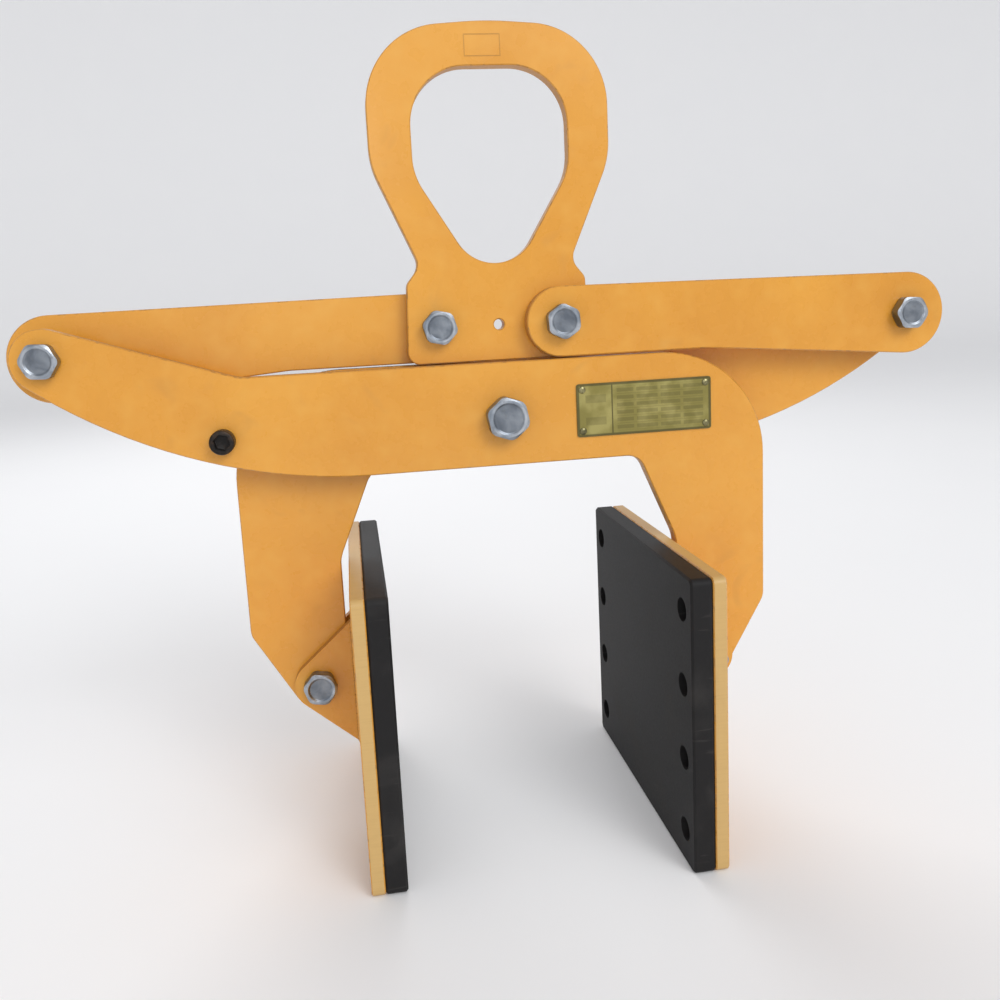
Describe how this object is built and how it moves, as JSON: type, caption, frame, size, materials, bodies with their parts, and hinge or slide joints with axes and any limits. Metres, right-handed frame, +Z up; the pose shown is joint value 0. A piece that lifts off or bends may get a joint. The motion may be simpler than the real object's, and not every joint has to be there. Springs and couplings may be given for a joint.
{
  "type": "scissor clamp",
  "caption": "Scissor lifting clamp: two crossed plate arms, links up to a lifting ring and rubber-faced pads that close as the ring is raised.",
  "frame": {"origin": "on the ground, midway between the pads, under the centre bolt", "axes": "+X to the wing of the back arm, +Y to the back, +Z up; the clamp stands on its pads, fully open, ring lowered"},
  "size_m": [0.72, 0.265, 0.6114],
  "materials": {
    "yellow_paint": "gloss enamel over flame-cut plate",
    "zinc_plate": "bright zinc plate",
    "black_oxide": "black oxide",
    "rubber": "matt moulded",
    "bronze": "turned bronze",
    "nameplate_metal": "printed satin plate"
  },
  "bodies": {
    "centre_pivot": {"centre_bolt": "zinc_plate", "centre_nut": "zinc_plate", "centre_washer": "zinc_plate", "centre_spacer": "zinc_plate"},
    "front_arm": {"front_arm": "yellow_paint", "front_arm_bush": "bronze", "front_jaw_bush": "bronze", "stop_screw": "black_oxide", "stop_sleeve": "zinc_plate", "stop_washer": "zinc_plate", "stop_nut": "zinc_plate", "left_outer_bolt": "zinc_plate", "left_outer_nut": "zinc_plate", "left_outer_washer": "zinc_plate", "left_outer_spacer": "zinc_plate", "nameplate": "nameplate_metal", "nameplate_rivets": "zinc_plate"},
    "back_arm": {"back_arm": "yellow_paint", "back_arm_bush": "bronze", "back_jaw_bush": "bronze", "right_outer_bolt": "zinc_plate", "right_outer_nut": "zinc_plate", "right_outer_washer": "zinc_plate", "right_outer_spacer": "zinc_plate"},
    "left_link": {"left_link": "yellow_paint", "left_link_bush": "bronze", "left_inner_bolt": "zinc_plate", "left_inner_nut": "zinc_plate", "left_inner_washer": "zinc_plate"},
    "right_link": {"right_link": "yellow_paint", "right_link_bush": "bronze", "right_inner_bolt": "zinc_plate", "right_inner_nut": "zinc_plate", "right_inner_washer": "zinc_plate"},
    "lifting_ring": {"lifting_ring": "yellow_paint", "ring_bush": "bronze"},
    "right_pad": {"right_pad_plate": "yellow_paint", "right_pad_rubber": "rubber", "right_pad_screws": "black_oxide", "right_pad_lugs": "yellow_paint", "right_jaw_bolt": "zinc_plate", "right_jaw_nut": "zinc_plate", "right_jaw_washer": "zinc_plate"},
    "left_pad": {"left_pad_plate": "yellow_paint", "left_pad_rubber": "rubber", "left_pad_screws": "black_oxide", "left_pad_lugs": "yellow_paint", "left_jaw_bolt": "zinc_plate", "left_jaw_nut": "zinc_plate", "left_jaw_washer": "zinc_plate"}
  },
  "joints": [
    {"name": "jaw_close", "type": "hinge", "parent": "centre_pivot", "child": "front_arm", "pos_m": [0, 0, 0.323], "axis": [0, 1, 0], "range_deg": [0, 15]},
    {"name": "back_arm_hinge", "type": "hinge", "parent": "centre_pivot", "child": "back_arm", "pos_m": [0, 0, 0.323], "axis": [0, -1, 0], "range_deg": [0, 15]},
    {"name": "left_link_hinge", "type": "hinge", "parent": "front_arm", "child": "left_link", "pos_m": [-0.328, 0, 0.385], "axis": [0, -1, 0], "range_deg": [0, 40]},
    {"name": "right_link_hinge", "type": "hinge", "parent": "back_arm", "child": "right_link", "pos_m": [0.328, 0, 0.385], "axis": [0, 1, 0], "range_deg": [0, 40]},
    {"name": "ring_hinge", "type": "hinge", "parent": "left_link", "child": "lifting_ring", "pos_m": [-0.046, 0, 0.393], "axis": [0, 1, 0], "range_deg": [0, 25]},
    {"name": "right_pad_swivel", "type": "hinge", "parent": "front_arm", "child": "right_pad", "pos_m": [0.156, -0.0125, 0.118], "axis": [0, -1, 0], "range_deg": [0, 15]},
    {"name": "left_pad_swivel", "type": "hinge", "parent": "back_arm", "child": "left_pad", "pos_m": [-0.156, 0.0125, 0.118], "axis": [0, 1, 0], "range_deg": [0, 15]}
  ],
  "couplings": [
    {"joint": "back_arm_hinge", "follows": "jaw_close", "ratio": 1},
    {"joint": "left_link_hinge", "follows": "jaw_close", "ratio": 2.665},
    {"joint": "right_link_hinge", "follows": "jaw_close", "ratio": 2.665},
    {"joint": "ring_hinge", "follows": "jaw_close", "ratio": 1.665},
    {"joint": "right_pad_swivel", "follows": "jaw_close", "ratio": 1},
    {"joint": "left_pad_swivel", "follows": "jaw_close", "ratio": 1}
  ]
}
